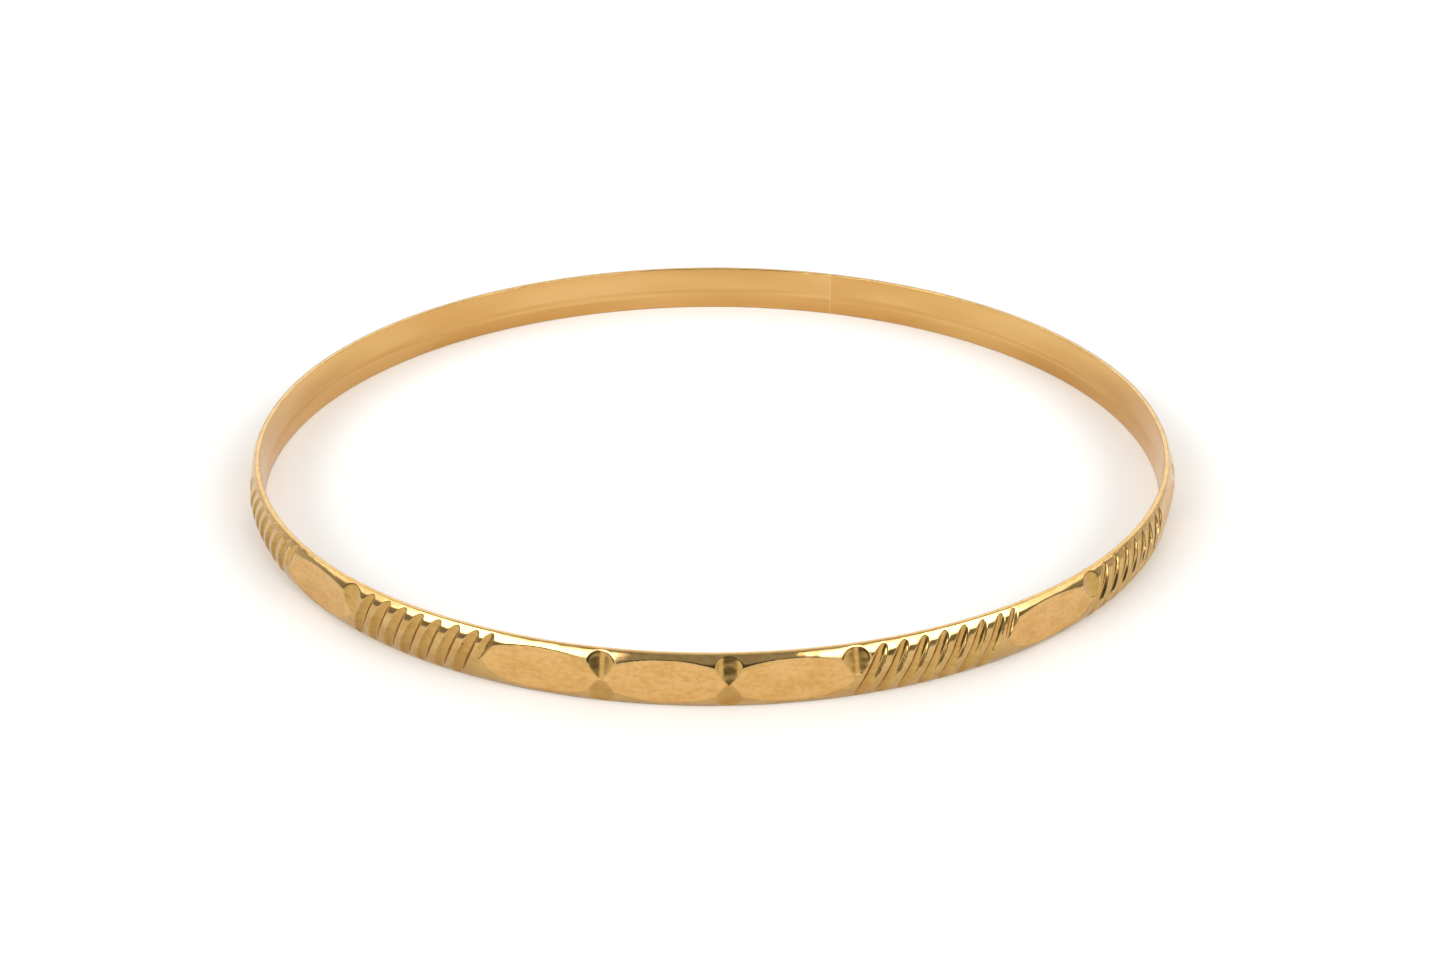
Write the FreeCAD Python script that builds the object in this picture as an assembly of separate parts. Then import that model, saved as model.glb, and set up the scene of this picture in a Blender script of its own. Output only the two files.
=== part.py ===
"""Slip-on bangle bracelet of yellow gold: a thin D-section band bent into a circle, with one soldered seam.

The outside is diamond cut. The pattern repeats four times round the band: a block of three oval facets, a
run of slanted flutes, one single facet and a second run of slanted flutes. A pair of scallops sits between
two facets of a block, one scallop sits where a fluted run begins, and a short slanted nick where it ends.

Frame: millimetres. The ring's axis is Z, the lower rim lies on Z = 0 and the origin is on the axis. Angles
are measured round +Z from the front of the ring, which faces -Y.
"""

import FreeCAD
import Part

import math
import os

V = FreeCAD.Vector
ORIGIN = V(0, 0, 0)
UP = V(0, 0, 1)
FRONT = V(0, -1, 0)

# The ring as a whole
INSIDE_DIAMETER = 63.5
BAND_HEIGHT = 3.5
BAND_THICKNESS = 0.9

# The band's section: a dome between rounded shoulders that fall to two narrow flat rims
DOME_RADIUS = 3.2
SHOULDER_HEIGHT = 1.1
RIM_DROP = 0.6
INNER_EDGE_RADIUS = 0.1

# How the cut pattern divides the ring
REPEATS = 4
FACET_PITCH = 13.3
FACETS_IN_BLOCK = 3
BLOCK_MIDDLE = -4.7

# Oval facets, cut very slightly hollow
FACET_DEPTH = 0.34
FACET_RADIUS = 60.0

# Scallops, and the narrower nicks, whose deepest line sinks towards the rim
SCALLOP_RADIUS = 2.2
SCALLOP_LEAN = 16.7
SCALLOP_START = 0.035
CUTTER_LENGTH = 6.0
NICK_BACK = 0.4

# Slanted flutes, which follow the dome along a flatter arc than its own
FLUTES_IN_RUN = 7
FLUTE_PITCH = 2.4
FLUTE_START = 1.8
FLUTE_RADIUS = 0.42
FLUTE_DEPTH = 0.3
FLUTE_SLANT = 25.0
FLUTE_ARC_RADIUS = 7.4
FLUTE_ARC_MIDDLE = 0.1

# The soldered seam
SEAM_ANGLE = 162.0
SEAM_WIDTH = 0.12

# How far a tool stands clear of the metal it passes through
CLEARANCE = 1.0

INNER_RADIUS = INSIDE_DIAMETER / 2
CROWN_RADIUS = INNER_RADIUS + BAND_THICKNESS
RIM_RADIUS = CROWN_RADIUS - RIM_DROP
MIDDLE = BAND_HEIGHT / 2
REPEAT_ANGLE = 360.0 / REPEATS
BLOCK_ANGLE = FACETS_IN_BLOCK * FACET_PITCH
FLUTED_ANGLE = (REPEAT_ANGLE - BLOCK_ANGLE - FACET_PITCH) / 2


def at(radius, up):
    """A point of the section at the front of the ring, with its height measured from the band's middle."""
    return V(0, -radius, MIDDLE + up)


def half_section(side):
    """The curves above the middle for side 1, or below it for side -1: the shoulder, the flat rim and the
    rounded inner edge. The shoulder is an arc that leaves the dome smoothly and ends at the rim."""
    lean = math.asin(SHOULDER_HEIGHT / DOME_RADIUS)
    meet_radius = CROWN_RADIUS - DOME_RADIUS * (1 - math.cos(lean))
    drop = meet_radius - RIM_RADIUS
    rise = MIDDLE - SHOULDER_HEIGHT
    shoulder = (drop**2 + rise**2) / (2 * (drop * math.cos(lean) - rise * math.sin(lean)))
    centre_radius = meet_radius - shoulder * math.cos(lean)
    centre_up = SHOULDER_HEIGHT - shoulder * math.sin(lean)
    half_way = (lean + math.asin((MIDDLE - centre_up) / shoulder)) / 2
    bulge_radius = centre_radius + shoulder * math.cos(half_way)
    bulge_up = centre_up + shoulder * math.sin(half_way)
    edge = INNER_EDGE_RADIUS
    edge_bulge = edge * (1 - math.sqrt(0.5))

    dome_end = at(meet_radius, side * SHOULDER_HEIGHT)
    rim_outer = at(RIM_RADIUS, side * MIDDLE)
    rim_inner = at(INNER_RADIUS + edge, side * MIDDLE)
    edge_middle = at(INNER_RADIUS + edge_bulge, side * (MIDDLE - edge_bulge))
    wall_end = at(INNER_RADIUS, side * (MIDDLE - edge))
    return [
        Part.Arc(dome_end, at(bulge_radius, side * bulge_up), rim_outer),
        Part.LineSegment(rim_outer, rim_inner),
        Part.Arc(rim_inner, edge_middle, wall_end),
    ]


def band_section():
    """The closed D-shaped face: a low dome, two half sections and a straight inner wall."""
    upper = half_section(1)
    lower = half_section(-1)
    dome = Part.Arc(lower[0].StartPoint, at(CROWN_RADIUS, 0), upper[0].StartPoint)
    wall = Part.LineSegment(upper[-1].EndPoint, lower[-1].EndPoint)
    curves = [dome, *upper, wall, *reversed(lower)]
    return Part.Face(Part.Wire([curve.toShape() for curve in curves]))


def plain_ring():
    """The band before any cutting, as a full turn of its section."""
    return band_section().revolve(ORIGIN, UP, 360)


def block_starts():
    """The angle where the first facet of each block begins."""
    return [BLOCK_MIDDLE - BLOCK_ANGLE / 2 + repeat * REPEAT_ANGLE for repeat in range(REPEATS)]


def run_starts():
    """The angle where each fluted run begins: after the block, and after the single facet."""
    starts = []
    for block in block_starts():
        first = block + BLOCK_ANGLE
        starts += [first, first + FLUTED_ANGLE + FACET_PITCH]
    return starts


def facet_tools():
    """A wide upright cylinder for each facet, standing outside the band and biting into it."""
    middles = []
    for block in block_starts():
        middles += [block + (k + 0.5) * FACET_PITCH for k in range(FACETS_IN_BLOCK)]
        middles.append(block + BLOCK_ANGLE + FLUTED_ANGLE + FACET_PITCH / 2)
    tools = []
    for middle in middles:
        foot = V(0, -(CROWN_RADIUS - FACET_DEPTH + FACET_RADIUS), -CLEARANCE)
        tool = Part.makeCylinder(FACET_RADIUS, BAND_HEIGHT + 2 * CLEARANCE, foot, UP)
        tool.rotate(ORIGIN, UP, middle)
        tools.append(tool)
    return tools


def sinking_tool(angle, side, radius, slant):
    """A round cutter whose deepest line starts just under the crown at the band's middle and sinks towards
    the rim, above the middle for side 1 and below it for side -1. It runs out just short of the rim. The
    slant turns its upper end towards greater angles."""
    lean = math.atan(math.tan(math.radians(SCALLOP_LEAN)) * math.cos(math.radians(slant)))
    line = V(0, math.sin(lean), side * math.cos(lean))
    out = V(0, -math.cos(lean), side * math.sin(lean))
    centre = at(CROWN_RADIUS - SCALLOP_START, 0) + out * radius
    cutter = Part.makeCylinder(radius, CUTTER_LENGTH, centre - line * (CUTTER_LENGTH / 2), line)
    size = 2 * CUTTER_LENGTH
    corner = V(-size / 2, -CROWN_RADIUS - size / 2, MIDDLE - size * (1 - side) / 2)
    cutter = cutter.common(Part.makeBox(size, size, size, corner))
    cutter.rotate(at(CROWN_RADIUS, 0), FRONT, -slant)
    cutter.rotate(ORIGIN, UP, angle)
    return cutter


def scallop_tools():
    """A pair of scallops between neighbouring facets of a block, and an upper one before each fluted run."""
    tools = []
    for block in block_starts():
        for k in range(1, FACETS_IN_BLOCK):
            tools += [sinking_tool(block + k * FACET_PITCH, side, SCALLOP_RADIUS, 0) for side in (-1, 1)]
    tools += [sinking_tool(start, 1, SCALLOP_RADIUS, 0) for start in run_starts()]
    return tools


def nick_tools():
    """A short slanted nick above the middle of the band at the end of each fluted run."""
    ends = [start + FLUTED_ANGLE - NICK_BACK for start in run_starts()]
    return [sinking_tool(end, 1, FLUTE_RADIUS, FLUTE_SLANT) for end in ends]


def flute_tool(angle):
    """A slanted arc of round section that crosses the band with its top towards greater angles."""
    slant = math.radians(FLUTE_SLANT)
    axis = V(math.cos(slant), 0, -math.sin(slant))
    lengthwise = V(math.sin(slant), 0, math.cos(slant))
    centre = at(CROWN_RADIUS - FLUTE_DEPTH + FLUTE_RADIUS - FLUTE_ARC_RADIUS, 0)
    tool = Part.makeTorus(FLUTE_ARC_RADIUS, FLUTE_RADIUS, centre + lengthwise * FLUTE_ARC_MIDDLE, axis)
    tool.rotate(ORIGIN, UP, angle)
    return tool


def flute_tools():
    """Every flute of every run."""
    steps = [FLUTE_START + k * FLUTE_PITCH for k in range(FLUTES_IN_RUN)]
    return [flute_tool(start + step) for start in run_starts() for step in steps]


def seam_tool():
    """A thin slab through the whole section at the seam."""
    slab = Part.makeBox(CROWN_RADIUS + CLEARANCE, SEAM_WIDTH, BAND_HEIGHT + 2 * CLEARANCE)
    slab.translate(V(0, -SEAM_WIDTH / 2, -CLEARANCE))
    slab.rotate(ORIGIN, UP, SEAM_ANGLE - 90)
    return slab


def cut_ring():
    """The whole ring with its facets, scallops, nicks and flutes cut."""
    ring = plain_ring()
    for tool in facet_tools() + scallop_tools() + nick_tools() + flute_tools():
        ring = ring.cut(tool)
    return ring


def main():
    os.makedirs("parts", exist_ok=True)
    ring = cut_ring()
    seam = seam_tool()
    nodes = {"band": ring.cut(seam), "solder_seam": ring.common(seam)}
    for name, shape in nodes.items():
        shape.exportStep(f"parts/{name}.step")
        print(name, "solids", len(shape.Solids), "faces", len(shape.Faces), "valid", shape.isValid())
        print("  volume mm3", round(shape.Volume, 3), "box", shape.BoundBox)


main()
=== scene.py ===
import math

import bpy
import numpy as np
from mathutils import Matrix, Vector


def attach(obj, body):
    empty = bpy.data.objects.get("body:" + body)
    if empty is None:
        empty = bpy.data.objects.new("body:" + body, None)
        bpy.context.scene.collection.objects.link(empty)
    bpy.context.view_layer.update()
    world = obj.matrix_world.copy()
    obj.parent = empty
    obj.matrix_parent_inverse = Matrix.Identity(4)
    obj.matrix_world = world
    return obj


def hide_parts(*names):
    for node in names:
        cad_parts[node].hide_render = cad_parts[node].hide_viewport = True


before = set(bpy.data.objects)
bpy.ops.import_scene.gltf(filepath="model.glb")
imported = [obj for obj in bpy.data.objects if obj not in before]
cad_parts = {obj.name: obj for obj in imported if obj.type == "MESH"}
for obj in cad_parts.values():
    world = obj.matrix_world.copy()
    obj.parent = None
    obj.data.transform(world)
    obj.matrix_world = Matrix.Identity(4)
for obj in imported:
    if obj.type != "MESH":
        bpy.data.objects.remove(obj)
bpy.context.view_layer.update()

MM = 0.001

# The ring in millimetres. Heights are measured from the middle of the band, and angles in degrees round +Z
# from the front, which faces -Y.
INSIDE_DIAMETER = 63.5
BAND_HEIGHT = 3.5
BAND_THICKNESS = 0.9
INNER_RADIUS = INSIDE_DIAMETER / 2
CROWN_RADIUS = INNER_RADIUS + BAND_THICKNESS
HALF_HEIGHT = BAND_HEIGHT / 2

# The band's section: a dome between rounded shoulders that fall to two narrow flat rims
DOME_RADIUS = 3.2
SHOULDER_HEIGHT = 1.1
RIM_DROP = 0.6
INNER_EDGE_RADIUS = 0.1

# How the cut pattern divides the ring
REPEATS = 4
REPEAT_ANGLE = 360.0 / REPEATS
FACET_PITCH = 13.3
FACETS_IN_BLOCK = 3
BLOCK_MIDDLE = -4.7
FLUTED_ANGLE = (REPEAT_ANGLE - (FACETS_IN_BLOCK + 1) * FACET_PITCH) / 2

# Oval facets, cut very slightly hollow
FACET_DEPTH = 0.34
FACET_RADIUS = 60.0

# Scallops, and the narrower nicks, whose deepest line sinks towards the rim
SCALLOP_RADIUS = 2.2
SCALLOP_LEAN = 16.7
SCALLOP_START = 0.035
NICK_BACK = 0.4

# Slanted flutes, which follow the dome along a flatter arc than its own
FLUTES_IN_RUN = 7
FLUTE_PITCH = 2.4
FLUTE_START = 1.8
FLUTE_RADIUS = 0.42
FLUTE_DEPTH = 0.3
FLUTE_SLANT = 25.0
FLUTE_ARC_RADIUS = 7.4
FLUTE_ARC_MIDDLE = 0.1

# The soldered seam
SEAM_ANGLE = 162.0
SEAM_WIDTH = 0.12

# How widely the edges of the cuts are rounded over, and the radius that stands for a cutter that misses
EDGE_SOFTNESS = 0.03
FACET_SOFTNESS = 0.06
MISSED = 1000.0

# How far to each side of its middle a cut is worked out, in degrees
FACET_REACH = 20
SCALLOP_REACH = 6
FLUTE_REACH = 5

# How finely the band is meshed. Its columns lean with the flutes, and turn upright over a ramp that reaches
# just past each end of a run. The ramp's length and how far past the end it reaches are in degrees, and so is
# the turn that makes an edge look sharp.
COLUMNS = 3600
SEAM_COLUMNS = 4
DOME_ROWS = 40
SHOULDER_ROWS = 14
EDGE_ROWS = 3
WALL_ROWS = 4
LEAN_RAMP = 2.2
LEAN_PAST_END = 0.6
SHARP_ANGLE = 50.0

# The colours of the metal, each with the deeper tone that patches of it have, and two tints of painted shade
# laid over the polished outside and the cuts
GOLD = (0.70, 0.44, 0.17)
GOLD_DEEP = (0.58, 0.325, 0.10)
SOLDER = (0.70, 0.46, 0.21)
SOLDER_DEEP = (0.66, 0.42, 0.18)
# Painted shade, multiplied over everything but the facets and the inner wall: the dome, shoulders, rims and
# cuts
POLISHED_SHADE_TINT = (0.82, 0.88, 0.94)
# Painted shade and painted bounce light, multiplied into the scallops, nicks and flutes, deepening them
# towards orange-brown
CUT_SHADE_TINT = (0.93, 0.87, 0.70)

# Textures of the metal: cells per millimetre round the band and across it, then the noise's detail and
# roughness
STREAKS = (0.35, 7.0, 4.0, 0.6)
HAIRS = (0.8, 38.0, 2.0, 0.6)
CLOUDS = (0.55, 1.1, 5.0, 0.62)
GRAIN = (9.0, 16.0, 3.0, 0.65)
MOTTLE = (2.4, 3.6, 3.0, 0.6)
WAVES = (0.9, 1.3, 1.0, 0.4)
DRIFT = (0.06, 0.25, 1.0, 0.5)

# What the textures do: the span of a noise that is used, and the roughness or tone at each end of it. The
# bump's depth is in millimetres, and the textures add to it in these shares.
NOISE_SPAN = (0.3, 0.7)
POLISHED_ROUGHNESS = 0.10
FACET_ROUGHNESS = (0.28, 0.42)
CUT_ROUGHNESS = (0.10, 0.20)
INNER_ROUGHNESS = (0.12, 0.24)
MOTTLE_SHARE = 0.45
PATCH_SPAN = (0.38, 0.64)
PATCH_TONE = (0.0, 0.85)
DRIFT_SPAN = (0.35, 0.65)
DRIFT_TONE = (0.1, 0.8)
BUMP_DEPTH = 0.002
STREAK_BUMP = 4.0
HAIR_BUMP = 0.25
GRAIN_BUMP = 0.35
WAVE_BUMP = 11.0

# The floor: its size in metres, and its paper
FLOOR_SIZE = 6.0
FLOOR_GREY = 0.72
FLOOR_ROUGHNESS = 0.9
FLOOR_SPECULAR = 0.2

# The studio's light. Its places are degrees up from the horizon, or degrees round from the front to either
# side. Two numbers are where a change begins and ends, with the strengths at its ends in the LIGHT pair that
# follows. Four numbers are where a light begins to rise, is full, begins to fall and is gone.
LIGHT_COLOUR = (1.0, 0.985, 0.96)
ROOM_UP = (55.0, 75.0)
ROOM_LIGHT = (0.36, 0.80)
BACKDROP_ROUND = (115.0, 135.0)
BACKDROP_UP = (45.0, 60.0)
BACKDROP_LIGHT = (1.7, 0.95)
PANEL_UP = (16.0, 20.0, 38.0, 50.0)
PANEL_ROUND = (22.0, 27.0, 74.0, 86.0)
PANEL_LIGHT = 7.0
SIDE_ROUND = (72.0, 84.0, 108.0, 120.0)
SIDE_LIGHT = 2.2
HORIZON_UP = (13.0, 17.0)
HORIZON_ROUND = (38.0, 46.0)
HORIZON_LIGHT = (0.14, 0.32)
STRIPE_ROUND = (19.0, 22.0, 33.0, 37.0)
STRIPE_LIGHT = 1.3
FAR_ROUND = (80.0, 125.0)
FAR_LIGHT = (0.0, 0.65)
DARK_ROUND = (17.0, 21.0)
DARK_TOP = (50.0, 60.0)
DARK_UP = (15.0, 22.0)
DARK_LIGHT = (0.10, 0.48)

# The camera: its place, lens and sensor in millimetres, its tilt in degrees, and the range that it sees in
# metres
CAMERA_PLACE = (0.72, -138.8, 67.0)
CAMERA_DOWN = 26.13
LENS = 53.2
SENSOR = 36.0
NEAREST = 0.01
FARTHEST = 20.0


def turned(angle):
    """Horizontal unit vectors that point out of the ring at these angles in degrees."""
    a = np.radians(angle)
    return np.stack([np.sin(a), -np.cos(a), np.zeros_like(a)], -1)


def forward(angle):
    """Horizontal unit vectors that run round the ring at these angles in degrees."""
    a = np.radians(angle)
    return np.stack([np.cos(a), np.sin(a), np.zeros_like(a)], -1)


def wrapped(angle):
    """Angles brought between -180 and 180 degrees."""
    return (angle + 180.0) % 360.0 - 180.0


def facet_middles():
    """The angle of the middle of every facet: those of each block, and the single one half a repeat on."""
    middles = []
    for repeat in range(REPEATS):
        block = BLOCK_MIDDLE + repeat * REPEAT_ANGLE
        for k in range(FACETS_IN_BLOCK):
            middles.append(block + (k - (FACETS_IN_BLOCK - 1) / 2) * FACET_PITCH)
        middles.append(block + REPEAT_ANGLE / 2)
    return middles


def run_starts():
    """The angle where each fluted run begins: after the block, and after the single facet."""
    starts = []
    for repeat in range(REPEATS):
        block_end = BLOCK_MIDDLE + repeat * REPEAT_ANGLE + FACETS_IN_BLOCK * FACET_PITCH / 2
        starts += [block_end, block_end + FLUTED_ANGLE + FACET_PITCH]
    return starts


def flute_middles():
    """The angle of the middle of every flute."""
    return [start + FLUTE_START + k * FLUTE_PITCH for start in run_starts() for k in range(FLUTES_IN_RUN)]


def round_cuts():
    """Angle, side, cutter radius and slant of every short cut: a pair of scallops between the facets of a
    block, one scallop where a fluted run begins, and a slanted nick where it ends."""
    cuts = []
    for repeat in range(REPEATS):
        block_start = BLOCK_MIDDLE + repeat * REPEAT_ANGLE - FACETS_IN_BLOCK * FACET_PITCH / 2
        for k in range(1, FACETS_IN_BLOCK):
            cuts += [(block_start + k * FACET_PITCH, side, SCALLOP_RADIUS, 0.0) for side in (-1, 1)]
    for start in run_starts():
        cuts.append((start, 1, SCALLOP_RADIUS, 0.0))
        cuts.append((start + FLUTED_ANGLE - NICK_BACK, 1, FLUTE_RADIUS, FLUTE_SLANT))
    return cuts


def section_rows():
    """The uncut section, from the middle of the inner wall up over the outside and back: the radius, height
    and kind of each row of the mesh. The shoulder is an arc that leaves the dome smoothly."""
    dome_middle = CROWN_RADIUS - DOME_RADIUS
    lean = math.asin(SHOULDER_HEIGHT / DOME_RADIUS)
    meet_radius = dome_middle + DOME_RADIUS * math.cos(lean)
    drop = meet_radius - (CROWN_RADIUS - RIM_DROP)
    rise = HALF_HEIGHT - SHOULDER_HEIGHT
    shoulder = (drop**2 + rise**2) / (2 * (drop * math.cos(lean) - rise * math.sin(lean)))
    centre_radius = meet_radius - shoulder * math.cos(lean)
    centre_up = SHOULDER_HEIGHT - shoulder * math.sin(lean)
    last = math.asin((HALF_HEIGHT - centre_up) / shoulder)
    edge = INNER_EDGE_RADIUS
    rows = []
    for h in np.linspace(0, HALF_HEIGHT - edge, WALL_ROWS // 2 + 1):
        rows.append((INNER_RADIUS, h, "wall"))
    for a in np.linspace(0, math.pi / 2, EDGE_ROWS + 1)[1:]:
        rows.append((INNER_RADIUS + edge * (1 - math.cos(a)), HALF_HEIGHT - edge * (1 - math.sin(a)), "edge"))
    for a in np.linspace(last, lean, SHOULDER_ROWS + 1):
        rows.append((centre_radius + shoulder * math.cos(a), centre_up + shoulder * math.sin(a), "outside"))
    for a in np.linspace(lean, 0, DOME_ROWS // 2 + 1)[1:]:
        rows.append((dome_middle + DOME_RADIUS * math.cos(a), DOME_RADIUS * math.sin(a), "outside"))
    below = [(r, -h, kind) for r, h, kind in rows[-2:0:-1]]
    return rows + below


def facet_surface(angle):
    """How far out the facets lie. Each is part of a wide upright cylinder that stands outside the band."""
    surface = np.full(angle.shape, MISSED)
    centre = CROWN_RADIUS - FACET_DEPTH + FACET_RADIUS
    for middle in facet_middles():
        away = wrapped(angle - middle)
        near = np.abs(away) < FACET_REACH
        turn = np.radians(np.where(near, away, 0))
        hollow = centre * np.cos(turn) - np.sqrt(FACET_RADIUS**2 - (centre * np.sin(turn)) ** 2)
        surface = np.where(near, np.minimum(surface, hollow), surface)
    return surface


def cylinder_cut(angle, height, point, line, radius):
    """How far out a cylinder's near side lies, along level rays from the ring's axis. Rays that miss it give
    the radius MISSED."""
    ray = turned(angle)
    start = np.zeros_like(ray)
    start[..., 2] = height
    start -= point
    across = ray @ line
    along = start @ line
    a = 1 - across**2
    b = 2 * ((ray * start).sum(-1) - across * along)
    c = (start**2).sum(-1) - along**2 - radius**2
    inside = b**2 - 4 * a * c
    hit = (-b - np.sqrt(np.maximum(inside, 0))) / (2 * a)
    return np.where(inside > 0, hit, MISSED)


def sinking_cut(angle, height, middle, side, cutter, tilt):
    """How far out a scallop or a nick lies. Its cutter is a cylinder whose deepest line starts just under the
    crown and sinks towards the rim, above the middle for side 1 and below it for side -1."""
    slant = math.radians(tilt)
    lean = math.atan(math.tan(math.radians(SCALLOP_LEAN)) * math.cos(slant))
    out = turned(np.array(middle))
    upward = forward(np.array(middle)) * math.sin(slant) + np.array([0, 0, math.cos(slant)])
    line = upward * side * math.cos(lean) - out * math.sin(lean)
    point = out * (CROWN_RADIUS - SCALLOP_START + cutter * math.cos(lean))
    point = point + upward * side * cutter * math.sin(lean)
    hit = cylinder_cut(angle, height, point, line, cutter)
    travel = np.radians(wrapped(angle - middle)) * CROWN_RADIUS
    lengthwise = travel * math.sin(slant) + height * math.cos(slant)
    return np.where(lengthwise * side > 0, hit, MISSED)


def flute_cut(angle, height, middle):
    """How far out a flute lies. It is a round section swept along a slanted arc, and that section is measured
    square to the flute's line."""
    slant = math.radians(FLUTE_SLANT)
    travel = np.radians(wrapped(angle - middle)) * CROWN_RADIUS
    across = travel * math.cos(slant) - height * math.sin(slant)
    lengthwise = travel * math.sin(slant) + height * math.cos(slant) - FLUTE_ARC_MIDDLE
    bottom = FLUTE_ARC_RADIUS - FLUTE_RADIUS
    floor = bottom - np.sqrt(np.maximum(bottom**2 - lengthwise**2, 0))
    inside = FLUTE_RADIUS**2 - across**2
    wall = FLUTE_RADIUS - np.sqrt(np.maximum(inside, 0))
    hit = CROWN_RADIUS - FLUTE_DEPTH - floor + wall + travel**2 / (2 * CROWN_RADIUS)
    return np.where(inside > 0, hit, MISSED)


def soft_min(a, b, softness):
    """The smaller of two radii, with the edge where they cross rounded over."""
    near = np.clip(1 - np.abs(a - b) / softness, 0, 1)
    return np.minimum(a, b) - near**2 * softness / 4


def outside_surface(angle, radius, height):
    """The cut outside of the band: its radius, how much of each point is facet, and how much is a scallop,
    nick or flute."""
    facet = facet_surface(angle)
    cuts = np.full(angle.shape, MISSED)
    for middle, side, cutter, tilt in round_cuts():
        near = np.abs(wrapped(angle - middle)) < SCALLOP_REACH
        hit = sinking_cut(angle[near], height[near], middle, side, cutter, tilt)
        cuts[near] = soft_min(cuts[near], hit, EDGE_SOFTNESS)
    for middle in flute_middles():
        near = np.abs(wrapped(angle - middle)) < FLUTE_REACH
        hit = flute_cut(angle[near], height[near], middle)
        cuts[near] = soft_min(cuts[near], hit, EDGE_SOFTNESS)
    blank = soft_min(radius, facet, FACET_SOFTNESS)
    surface = soft_min(blank, cuts, EDGE_SOFTNESS)
    is_cut = np.clip((blank - cuts) / EDGE_SOFTNESS, 0, 1)
    is_facet = np.clip((radius - facet) / EDGE_SOFTNESS, 0, 1) * (1 - is_cut)
    return surface, is_facet, is_cut


def lean_of_columns(angle):
    """How far the columns of the mesh lean with the flutes: fully in a run, and not at all on the facets."""
    lean = np.zeros_like(angle)
    for start in run_starts():
        from_middle = np.abs(wrapped(angle - start - FLUTED_ANGLE / 2))
        share = np.clip((FLUTED_ANGLE / 2 + LEAN_PAST_END - from_middle) / LEAN_RAMP, 0, 1)
        lean = np.maximum(lean, share**2 * (3 - 2 * share))
    return lean


def grid_faces(columns, rows):
    """Quads along the band and round its section, and a flat face over each end."""
    i = np.arange(columns)[:, None] * rows
    j = np.arange(rows)[None, :]
    k = (j + 1) % rows
    quads = np.stack([i + j, i + k, i + rows + k, i + rows + j], -1).reshape(-1, 4)
    first_end = list(range(rows))[::-1]
    last_end = [columns * rows + n for n in range(rows)]
    return [*quads.tolist(), first_end, last_end]


def strip(name, first, last, columns):
    """A length of the band between two angles as one closed mesh. Each point keeps how much it is facet, cut
    and inner wall, and its place on the unrolled band in millimetres, for the material to read."""
    rows = section_rows()
    base_radius = np.array([r for r, h, kind in rows])
    height = np.array([h for r, h, kind in rows])
    outside = np.array([kind == "outside" for r, h, kind in rows])
    inner = np.array([kind == "wall" for r, h, kind in rows])
    foot = np.linspace(first, last, columns + 1)
    slope = math.degrees(math.tan(math.radians(FLUTE_SLANT)) / CROWN_RADIUS)
    angle = foot[:, None] + lean_of_columns(foot)[:, None] * slope * height[None, :]
    z = np.broadcast_to(height, angle.shape)
    radius = np.broadcast_to(base_radius, angle.shape).copy()
    surface, is_facet, is_cut = outside_surface(angle[:, outside], radius[:, outside], z[:, outside])
    radius[:, outside] = surface
    masks = {"facet": np.zeros(angle.shape), "cut": np.zeros(angle.shape)}
    masks["facet"][:, outside] = is_facet
    masks["cut"][:, outside] = is_cut
    masks["inner"] = np.broadcast_to(inner, angle.shape).astype(float)

    points = turned(angle) * radius[..., None]
    points[..., 2] = z + HALF_HEIGHT
    mesh = bpy.data.meshes.new(name)
    mesh.from_pydata((points.reshape(-1, 3) * MM).tolist(), [], grid_faces(columns, len(rows)))
    for key, values in masks.items():
        layer = mesh.attributes.new(key, "FLOAT", "POINT")
        layer.data.foreach_set("value", values.astype(np.float32).ravel())
    steps = np.hypot(np.diff(base_radius), np.diff(height))
    place = np.zeros((*angle.shape, 3), np.float32)
    place[..., 0] = np.radians(angle) * CROWN_RADIUS
    place[..., 1] = np.concatenate([[0], np.cumsum(steps)])
    layer = mesh.attributes.new("place", "FLOAT_VECTOR", "POINT")
    layer.data.foreach_set("vector", place.ravel())
    mesh.shade_smooth()
    mesh.set_sharp_from_angle(angle=math.radians(SHARP_ANGLE))
    mesh.validate()
    mesh.update()
    piece = bpy.data.objects.new(name, mesh)
    bpy.context.scene.collection.objects.link(piece)
    return piece


def feed(tree, socket, value):
    """Set a socket to a number, or link it to a node's output."""
    if isinstance(value, (int, float)):
        socket.default_value = value
    else:
        tree.links.new(value, socket)


def calculated(tree, operation, *values):
    """The result of a Math node."""
    node = tree.nodes.new("ShaderNodeMath")
    node.operation = operation
    for socket, value in zip(node.inputs, values):
        feed(tree, socket, value)
    return node.outputs[0]


def mixed(tree, factor, a, b):
    """Two numbers mixed: all a where the factor is 0, and all b where it is 1."""
    node = tree.nodes.new("ShaderNodeMix")
    node.data_type = "FLOAT"
    for socket, value in ((node.inputs[0], factor), (node.inputs[2], a), (node.inputs[3], b)):
        feed(tree, socket, value)
    return node.outputs[0]


def mixed_colours(tree, factor, a, b, blend="MIX"):
    """Colour a with colour b mixed or multiplied in as far as the factor says. A colour is three numbers or a
    node's output."""
    node = tree.nodes.new("ShaderNodeMix")
    node.data_type = "RGBA"
    node.blend_type = blend
    tree.links.new(factor, node.inputs[0])
    for socket, colour in ((node.inputs[6], a), (node.inputs[7], b)):
        if isinstance(colour, tuple):
            socket.default_value = (*colour, 1)
        else:
            tree.links.new(colour, socket)
    return node.outputs[2]


def spread(tree, value, span, to):
    """A number that eases from the first of a pair to the second as a value crosses a span."""
    node = tree.nodes.new("ShaderNodeMapRange")
    node.interpolation_type = "SMOOTHSTEP"
    tree.links.new(value, node.inputs["Value"])
    for key, number in zip(("From Min", "From Max", "To Min", "To Max"), (*span, *to)):
        node.inputs[key].default_value = number
    return node.outputs["Result"]


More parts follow.
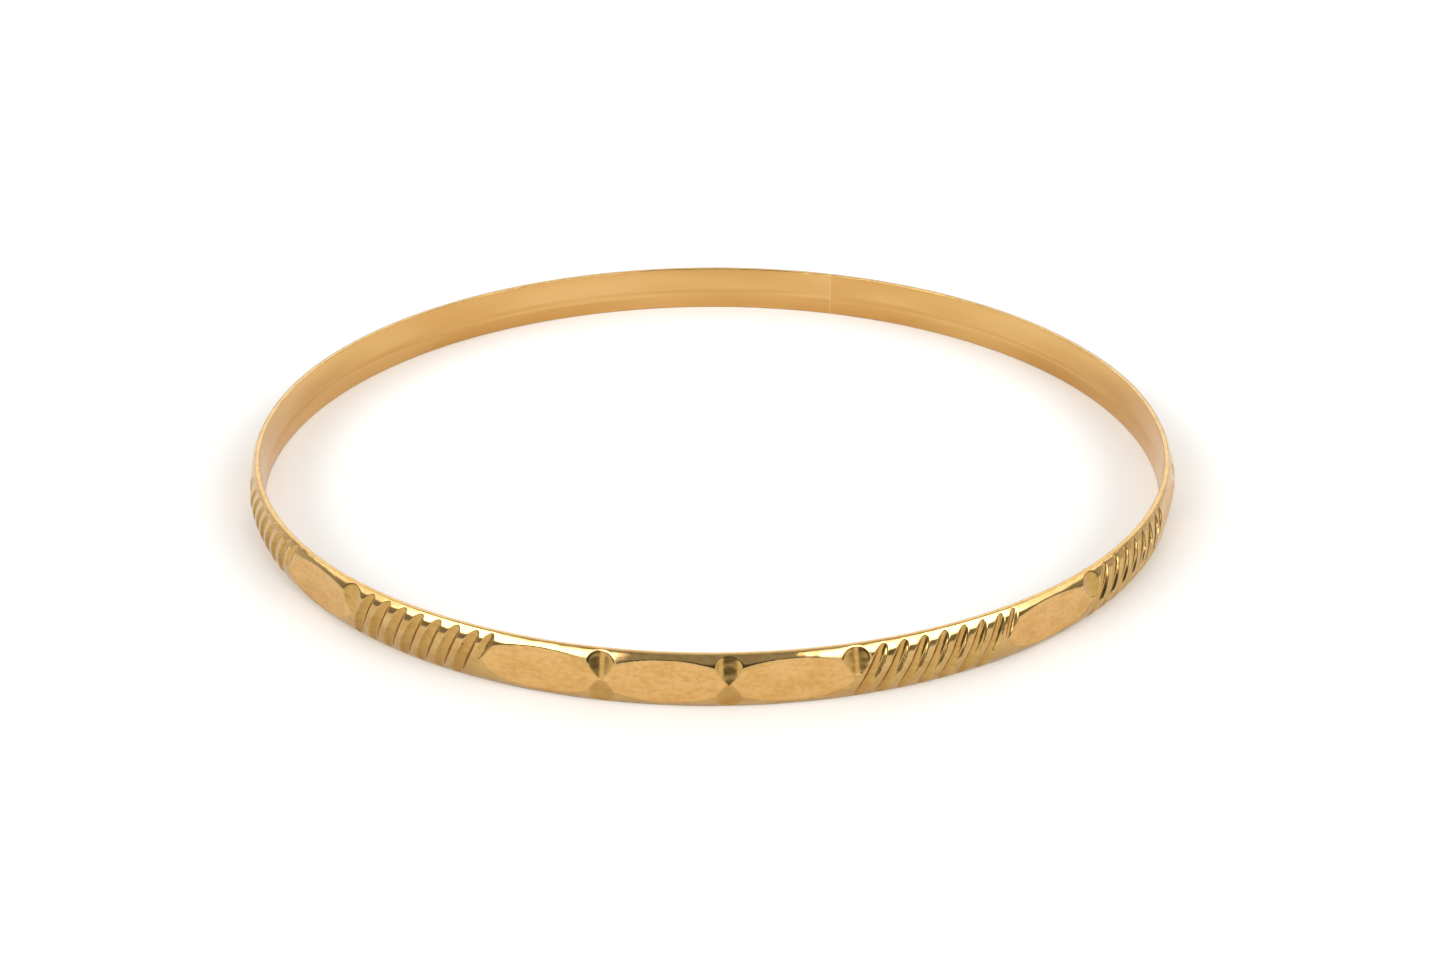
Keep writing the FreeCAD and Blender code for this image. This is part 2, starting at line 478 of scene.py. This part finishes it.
def between(tree, value, limits):
    """1 inside four limits and 0 outside them, with an eased rise and fall."""
    rise = spread(tree, value, limits[:2], (0.0, 1.0))
    fall = spread(tree, value, limits[2:], (1.0, 0.0))
    return calculated(tree, "MULTIPLY", rise, fall)


def attribute(tree, name, output="Fac"):
    """What the points of the mesh keep under a name."""
    node = tree.nodes.new("ShaderNodeAttribute")
    node.attribute_name = name
    return node.outputs[output]


def noise(tree, texture):
    """One of the textures of the metal, laid out on the unrolled band."""
    round_band, across_band, detail, roughness = texture
    stretch = tree.nodes.new("ShaderNodeVectorMath")
    stretch.operation = "MULTIPLY"
    tree.links.new(attribute(tree, "place", "Vector"), stretch.inputs[0])
    stretch.inputs[1].default_value = (round_band, across_band, 1.0)
    node = tree.nodes.new("ShaderNodeTexNoise")
    tree.links.new(stretch.outputs[0], node.inputs["Vector"])
    node.inputs["Scale"].default_value = 1.0
    node.inputs["Detail"].default_value = detail
    node.inputs["Roughness"].default_value = roughness
    return node.outputs["Fac"]


def gold_material(name, base, deep):
    """Yellow gold: satin on the facets, bright in the cuts, and finely rubbed on the inner wall. Painted
    shade darkens the polished outside, and a deeper painted shade with painted bounce light fills the cuts.
    """
    material = bpy.data.materials.new(name)
    material.use_nodes = True
    tree = material.node_tree
    tree.nodes.clear()
    out = tree.nodes.new("ShaderNodeOutputMaterial")
    gold = tree.nodes.new("ShaderNodeBsdfPrincipled")
    tree.links.new(gold.outputs[0], out.inputs[0])
    gold.inputs["Metallic"].default_value = 1.0

    facet, cut, inner = (attribute(tree, key) for key in ("facet", "cut", "inner"))
    satin = calculated(tree, "MAXIMUM", facet, inner)
    polished_and_shaded = calculated(tree, "SUBTRACT", 1.0, satin)
    streaks = noise(tree, STREAKS)
    hairs = noise(tree, HAIRS)
    grain = noise(tree, GRAIN)

    rough = mixed(tree, facet, POLISHED_ROUGHNESS, spread(tree, streaks, NOISE_SPAN, FACET_ROUGHNESS))
    rough = mixed(tree, cut, rough, spread(tree, grain, NOISE_SPAN, CUT_ROUGHNESS))
    rough = mixed(tree, inner, rough, spread(tree, hairs, NOISE_SPAN, INNER_ROUGHNESS))
    tree.links.new(rough, gold.inputs["Roughness"])

    patches = mixed(tree, MOTTLE_SHARE, noise(tree, CLOUDS), noise(tree, MOTTLE))
    patches = spread(tree, patches, PATCH_SPAN, PATCH_TONE)
    tone = mixed(tree, inner, patches, spread(tree, noise(tree, DRIFT), DRIFT_SPAN, DRIFT_TONE))
    colour = mixed_colours(tree, tone, base, deep)
    # Painted shade: the polished outside is darkened and greyed, standing for the shadowed floor it reflects
    # near the ring
    colour = mixed_colours(tree, polished_and_shaded, colour, POLISHED_SHADE_TINT, "MULTIPLY")
    # Painted shade and painted bounce light: the cuts are deepened towards orange-brown, as gold walls lit by
    # each other look
    colour = mixed_colours(tree, cut, colour, CUT_SHADE_TINT, "MULTIPLY")
    tree.links.new(colour, gold.inputs["Base Color"])

    height = calculated(tree, "MULTIPLY", streaks, calculated(tree, "MULTIPLY", facet, STREAK_BUMP))
    height = calculated(tree, "ADD", height, calculated(tree, "MULTIPLY", hairs, HAIR_BUMP))
    height = calculated(tree, "ADD", height, calculated(tree, "MULTIPLY", grain, GRAIN_BUMP))
    wave_height = calculated(tree, "MULTIPLY", polished_and_shaded, WAVE_BUMP)
    wave_height = calculated(tree, "MULTIPLY", noise(tree, WAVES), wave_height)
    height = calculated(tree, "ADD", height, wave_height)
    bump = tree.nodes.new("ShaderNodeBump")
    bump.inputs["Strength"].default_value = 1.0
    bump.inputs["Distance"].default_value = BUMP_DEPTH * MM
    tree.links.new(height, bump.inputs["Height"])
    tree.links.new(bump.outputs[0], gold.inputs["Normal"])
    return material


def pale_floor():
    """A plain matt floor."""
    bpy.ops.mesh.primitive_plane_add(size=FLOOR_SIZE, location=(0, 0, 0))
    floor = bpy.context.object
    floor.name = "floor"
    paper = bpy.data.materials.new("paper")
    paper.use_nodes = True
    coat = paper.node_tree.nodes["Principled BSDF"]
    coat.inputs["Base Color"].default_value = (FLOOR_GREY, FLOOR_GREY, FLOOR_GREY, 1)
    coat.inputs["Roughness"].default_value = FLOOR_ROUGHNESS
    coat.inputs["Specular IOR Level"].default_value = FLOOR_SPECULAR
    floor.data.materials.append(paper)


def studio_light():
    """A soft surround: a room that is bright overhead, a bright backdrop, a tall light panel to each side of
    the front with a dimmer one beyond it, a dim horizon with a stripe of light, and darkness in front."""
    world = bpy.data.worlds.new("studio")
    bpy.context.scene.world = world
    world.use_nodes = True
    tree = world.node_tree
    tree.nodes.clear()
    out = tree.nodes.new("ShaderNodeOutputWorld")
    background = tree.nodes.new("ShaderNodeBackground")
    tree.links.new(background.outputs[0], out.inputs[0])
    direction = tree.nodes.new("ShaderNodeTexCoord").outputs["Generated"]
    parts = tree.nodes.new("ShaderNodeSeparateXYZ")
    tree.links.new(direction, parts.inputs[0])
    x, y, z = parts.outputs
    round_front = calculated(tree, "ARCTAN2", x, calculated(tree, "MULTIPLY", y, -1.0))
    from_front = calculated(tree, "DEGREES", calculated(tree, "ABSOLUTE", round_front))
    up = calculated(tree, "DEGREES", calculated(tree, "ARCSINE", z))

    room = spread(tree, up, ROOM_UP, ROOM_LIGHT)
    backdrop = spread(tree, up, BACKDROP_UP, BACKDROP_LIGHT)
    light = mixed(tree, spread(tree, from_front, BACKDROP_ROUND, (0.0, 1.0)), room, backdrop)
    tall = between(tree, up, PANEL_UP)
    for limits, strength in ((PANEL_ROUND, PANEL_LIGHT), (SIDE_ROUND, SIDE_LIGHT)):
        panel = calculated(tree, "MULTIPLY", between(tree, from_front, limits), tall)
        light = mixed(tree, panel, light, strength)
    horizon = spread(tree, from_front, HORIZON_ROUND, HORIZON_LIGHT)
    horizon = mixed(tree, between(tree, from_front, STRIPE_ROUND), horizon, STRIPE_LIGHT)
    horizon = calculated(tree, "ADD", horizon, spread(tree, from_front, FAR_ROUND, FAR_LIGHT))
    light = mixed(tree, spread(tree, up, HORIZON_UP, (1.0, 0.0)), light, horizon)
    in_front = spread(tree, from_front, DARK_ROUND, (1.0, 0.0))
    dark = calculated(tree, "MULTIPLY", in_front, spread(tree, up, DARK_TOP, (1.0, 0.0)))
    light = mixed(tree, dark, light, spread(tree, up, DARK_UP, DARK_LIGHT))
    tree.links.new(light, background.inputs["Strength"])
    background.inputs["Color"].default_value = (*LIGHT_COLOUR, 1)


def camera():
    lens = bpy.data.cameras.new("camera")
    lens.lens = LENS
    lens.sensor_width = SENSOR
    lens.clip_start = NEAREST
    lens.clip_end = FARTHEST
    holder = bpy.data.objects.new("camera", lens)
    holder.location = Vector(CAMERA_PLACE) * MM
    down = math.radians(CAMERA_DOWN)
    way = Vector((0, math.cos(down), -math.sin(down)))
    holder.rotation_mode = "QUATERNION"
    holder.rotation_quaternion = way.to_track_quat("-Z", "Y")
    bpy.context.scene.collection.objects.link(holder)
    bpy.context.scene.camera = holder


def main():
    half_seam = math.degrees(SEAM_WIDTH / 2 / CROWN_RADIUS)
    band = strip("band_cut", SEAM_ANGLE - 360 + half_seam, SEAM_ANGLE - half_seam, COLUMNS)
    seam = strip("seam_slab", SEAM_ANGLE - half_seam, SEAM_ANGLE + half_seam, SEAM_COLUMNS)
    band.data.materials.append(gold_material("gold", GOLD, GOLD_DEEP))
    seam.data.materials.append(gold_material("gold_solder", SOLDER, SOLDER_DEEP))
    for piece, node, slot in ((band, "band", "gold"), (seam, "solder_seam", "gold_solder")):
        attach(piece, "root")
        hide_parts(node)

    pale_floor()
    studio_light()
    camera()
    bpy.context.scene.view_settings.view_transform = "Standard"
    bpy.context.scene.view_settings.exposure = 0.0


main()
